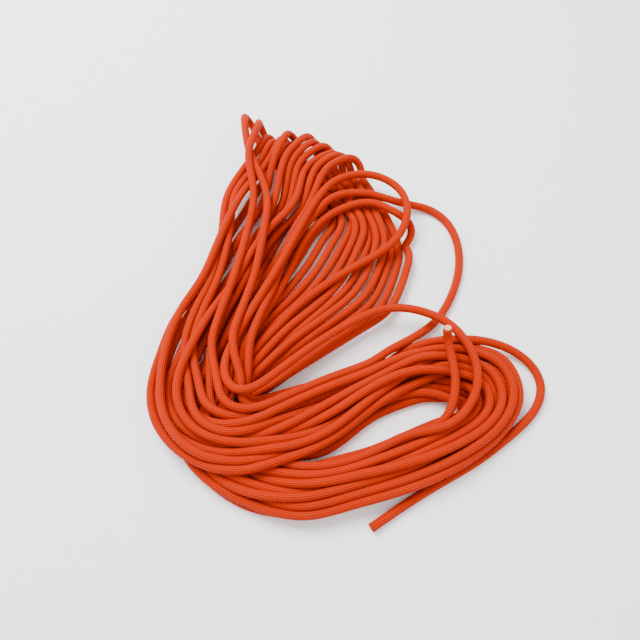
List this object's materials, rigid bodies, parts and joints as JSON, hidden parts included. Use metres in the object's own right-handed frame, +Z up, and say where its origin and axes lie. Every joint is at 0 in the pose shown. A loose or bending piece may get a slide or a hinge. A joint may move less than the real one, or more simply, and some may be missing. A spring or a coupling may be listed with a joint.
{
  "type": "loose hank of round elastic cord",
  "caption": "Loose hank of round braided elastic cord, its long turns bent once and lying flat, with two free cut ends.",
  "frame": {"origin": "centre of the bounding box in plan, on the surface that the hank lies on", "axes": "+Z up, +Y away from the viewer towards the crown of the turns, +X right towards the turned-back arm"},
  "size_m": [0.2068, 0.2482, 0.0289],
  "materials": {
    "sheath": "braided, satin",
    "rubber": "matt, cut"
  },
  "bodies": {
    "root": {"hank": "sheath", "upper_end": "sheath", "lower_end": "sheath", "rubber_core": "rubber"}
  },
  "joints": []
}
